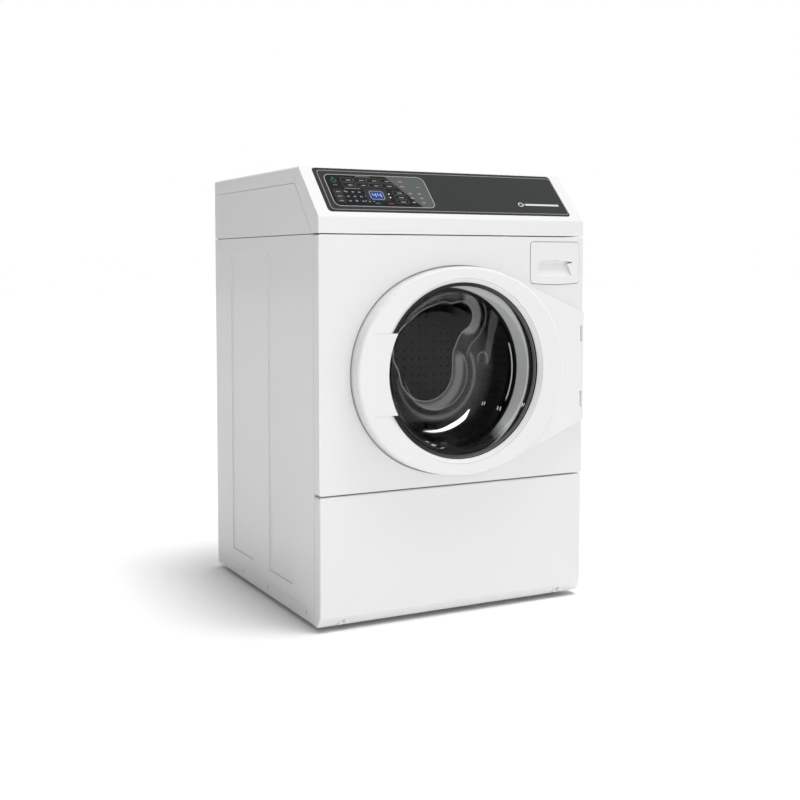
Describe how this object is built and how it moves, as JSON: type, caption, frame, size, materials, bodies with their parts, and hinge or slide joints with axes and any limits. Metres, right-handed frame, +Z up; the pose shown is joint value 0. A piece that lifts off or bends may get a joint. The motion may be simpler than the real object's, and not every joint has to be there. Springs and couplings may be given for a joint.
{
  "type": "front-load washing machine",
  "caption": "Front-load laundry washer with a sloped key console, round glass door on a side hinge, dispenser drawer and belt-driven drum.",
  "frame": {"origin": "bottom centre of the bounding box, on the floor", "axes": "+Z up, front faces -Y, +X to the right seen from the front"},
  "size_m": [0.683, 0.705, 1.011],
  "materials": {
    "enamel": "gloss white enamel",
    "zinc_steel": "zinc coated sheet",
    "plated_steel": "plated",
    "rubber": "satin",
    "gasket_grey": "satin light grey",
    "grey_plastic": "matte",
    "white_plastic": "gloss",
    "overlay_black": "gloss charcoal film",
    "display_lens": "gloss dark lens",
    "badge_silver": "polished",
    "key_black": "satin",
    "board_green": "matte",
    "bezel_grey": "satin light grey",
    "door_glass": "polished",
    "black_plastic": "matte",
    "cast_weight": "rough cast",
    "stainless": "brushed",
    "cast_alloy": "cast",
    "motor_paint": "satin"
  },
  "bodies": {
    "cabinet": {"base_frame": "enamel", "bearings": "plated_steel", "cabinet_screws": "plated_steel", "console_badge": "badge_silver", "console_housing": "white_plastic", "console_overlay": "overlay_black", "control_board": "board_green", "counterweights": "cast_weight", "damper_struts": "motor_paint", "dispenser_housing": "grey_plastic", "display_window": "display_lens", "door_lock": "black_plastic", "drain_hose": "grey_plastic", "drain_pump": "grey_plastic", "drive_belt": "rubber", "front_panel_lower": "enamel", "front_panel_upper": "enamel", "gasket": "gasket_grey", "gasket_clamps": "plated_steel", "hinge_brackets": "enamel", "hinge_pin": "plated_steel", "hood_frame": "enamel", "inlet_valve": "grey_plastic", "leg_pads": "rubber", "leg_studs": "plated_steel", "mains_gland": "black_plastic", "motor": "motor_paint", "motor_bracket": "motor_paint", "motor_controller": "black_plastic", "rear_access_cover": "zinc_steel", "rear_panel": "zinc_steel", "shaft_seal": "rubber", "side_panel_left": "enamel", "side_panel_right": "enamel", "sump_hose": "rubber", "suspension_springs": "plated_steel", "top_cover": "enamel", "tub_front": "grey_plastic", "tub_rear": "grey_plastic", "water_hoses": "grey_plastic"},
    "door": {"door_ring": "white_plastic", "door_handle": "white_plastic", "door_bezel": "bezel_grey", "door_glass": "door_glass", "door_back_ring": "bezel_grey", "door_strike": "plated_steel"},
    "drum": {"drum": "stainless", "drum_lifters": "grey_plastic", "spider_shaft": "cast_alloy", "drum_pulley": "cast_alloy"},
    "motor_rotor": {"motor_pulley": "plated_steel"},
    "drawer": {"drawer_front": "white_plastic", "drawer_tray": "grey_plastic"},
    "pump_rotor": {"pump_impeller": "grey_plastic"},
    "key_start_cap": {"key_start": "key_black"},
    "key_wash_a_cap": {"key_wash_a": "key_black"},
    "key_wash_b_cap": {"key_wash_b": "key_black"},
    "key_wash_c_cap": {"key_wash_c": "key_black"},
    "key_option_a_cap": {"key_option_a": "key_black"},
    "key_option_b_cap": {"key_option_b": "key_black"}
  },
  "joints": [
    {"name": "door_hinge", "type": "hinge", "parent": "cabinet", "child": "door", "pos_m": [0.3369, -0.3211, 0.558], "axis": [0, 0, 1], "range_deg": [0, 165]},
    {"name": "drum_spin", "type": "hinge", "parent": "cabinet", "child": "drum", "pos_m": [0, 0, 0.558], "axis": [0, 1, 0], "continuous": true},
    {"name": "motor_spin", "type": "hinge", "parent": "cabinet", "child": "motor_rotor", "pos_m": [0, 0.25, 0.199], "axis": [0, 1, 0], "continuous": true},
    {"name": "pump_spin", "type": "hinge", "parent": "cabinet", "child": "pump_rotor", "pos_m": [-0.2, -0.26, 0.094], "axis": [0, 1, 0], "continuous": true},
    {"name": "drawer_slide", "type": "slide", "parent": "cabinet", "child": "drawer", "axis": [0, -1, 0], "range_m": [0, 0.2]},
    {"name": "key_start_press", "type": "slide", "parent": "cabinet", "child": "key_start_cap", "axis": [0, 0.7181, -0.6959], "range_m": [0, 0.0005], "stiffness_N_per_m": 400, "springref_m": -0.0008},
    {"name": "key_wash_a_press", "type": "slide", "parent": "cabinet", "child": "key_wash_a_cap", "axis": [0, 0.7181, -0.6959], "range_m": [0, 0.0005], "stiffness_N_per_m": 400, "springref_m": -0.0008},
    {"name": "key_wash_b_press", "type": "slide", "parent": "cabinet", "child": "key_wash_b_cap", "axis": [0, 0.7181, -0.6959], "range_m": [0, 0.0005], "stiffness_N_per_m": 400, "springref_m": -0.0008},
    {"name": "key_wash_c_press", "type": "slide", "parent": "cabinet", "child": "key_wash_c_cap", "axis": [0, 0.7181, -0.6959], "range_m": [0, 0.0005], "stiffness_N_per_m": 400, "springref_m": -0.0008},
    {"name": "key_option_a_press", "type": "slide", "parent": "cabinet", "child": "key_option_a_cap", "axis": [0, 0.7181, -0.6959], "range_m": [0, 0.0005], "stiffness_N_per_m": 400, "springref_m": -0.0008},
    {"name": "key_option_b_press", "type": "slide", "parent": "cabinet", "child": "key_option_b_cap", "axis": [0, 0.7181, -0.6959], "range_m": [0, 0.0005], "stiffness_N_per_m": 400, "springref_m": -0.0008}
  ],
  "couplings": [
    {"joint": "motor_spin", "follows": "drum_spin", "ratio": 6}
  ]
}
